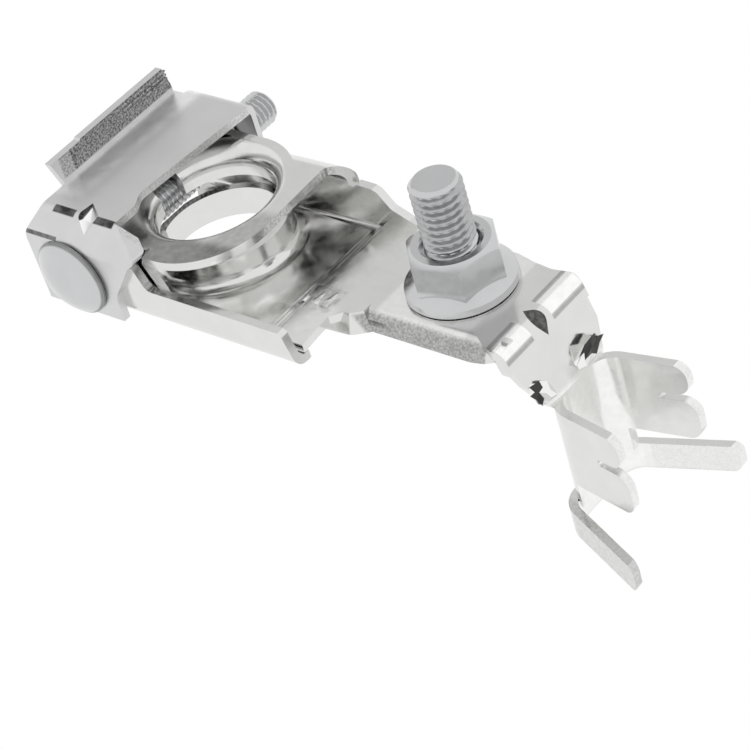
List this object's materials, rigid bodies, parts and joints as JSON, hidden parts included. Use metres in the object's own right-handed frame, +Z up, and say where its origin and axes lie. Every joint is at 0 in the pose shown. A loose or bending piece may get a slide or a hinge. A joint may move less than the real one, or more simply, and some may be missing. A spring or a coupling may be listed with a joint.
{
  "type": "battery terminal clamp",
  "caption": "Plated sheet battery terminal clamp with a split ring for the post, a folded saddle and cross bolt, a threaded stud with flange nut, and an open crimp barrel for the cable.",
  "frame": {"origin": "centre of the post bore at the underside of the lower plate", "axes": "+X from the cross bolt end along the arm to the crimp barrel, +Y along the cross bolt away from its head, +Z up the battery post and the stud"},
  "size_m": [0.1005, 0.0498, 0.0527],
  "materials": {
    "tinned_sheet": "bright tin plate",
    "plated_steel_sheet": "bright plate",
    "plated_fastener": "satin plate"
  },
  "bodies": {
    "clamp_frame": {"terminal_body": "tinned_sheet", "clamp_saddle": "plated_steel_sheet", "clamp_bolt": "plated_fastener", "stud": "plated_fastener"},
    "clamp_nut_body": {"clamp_nut": "plated_fastener"},
    "stud_nut_body": {"stud_nut": "plated_fastener"}
  },
  "joints": [
    {"name": "stud_nut_travel", "type": "slide", "parent": "clamp_frame", "child": "stud_nut_body", "axis": [0, 0, 1], "range_m": [0, 0.0195]},
    {"name": "clamp_nut_turn", "type": "hinge", "parent": "clamp_frame", "child": "clamp_nut_body", "pos_m": [-0.0136, 0.015, 0.0061], "axis": [0, 1, 0], "range_deg": [-100, 100]}
  ]
}
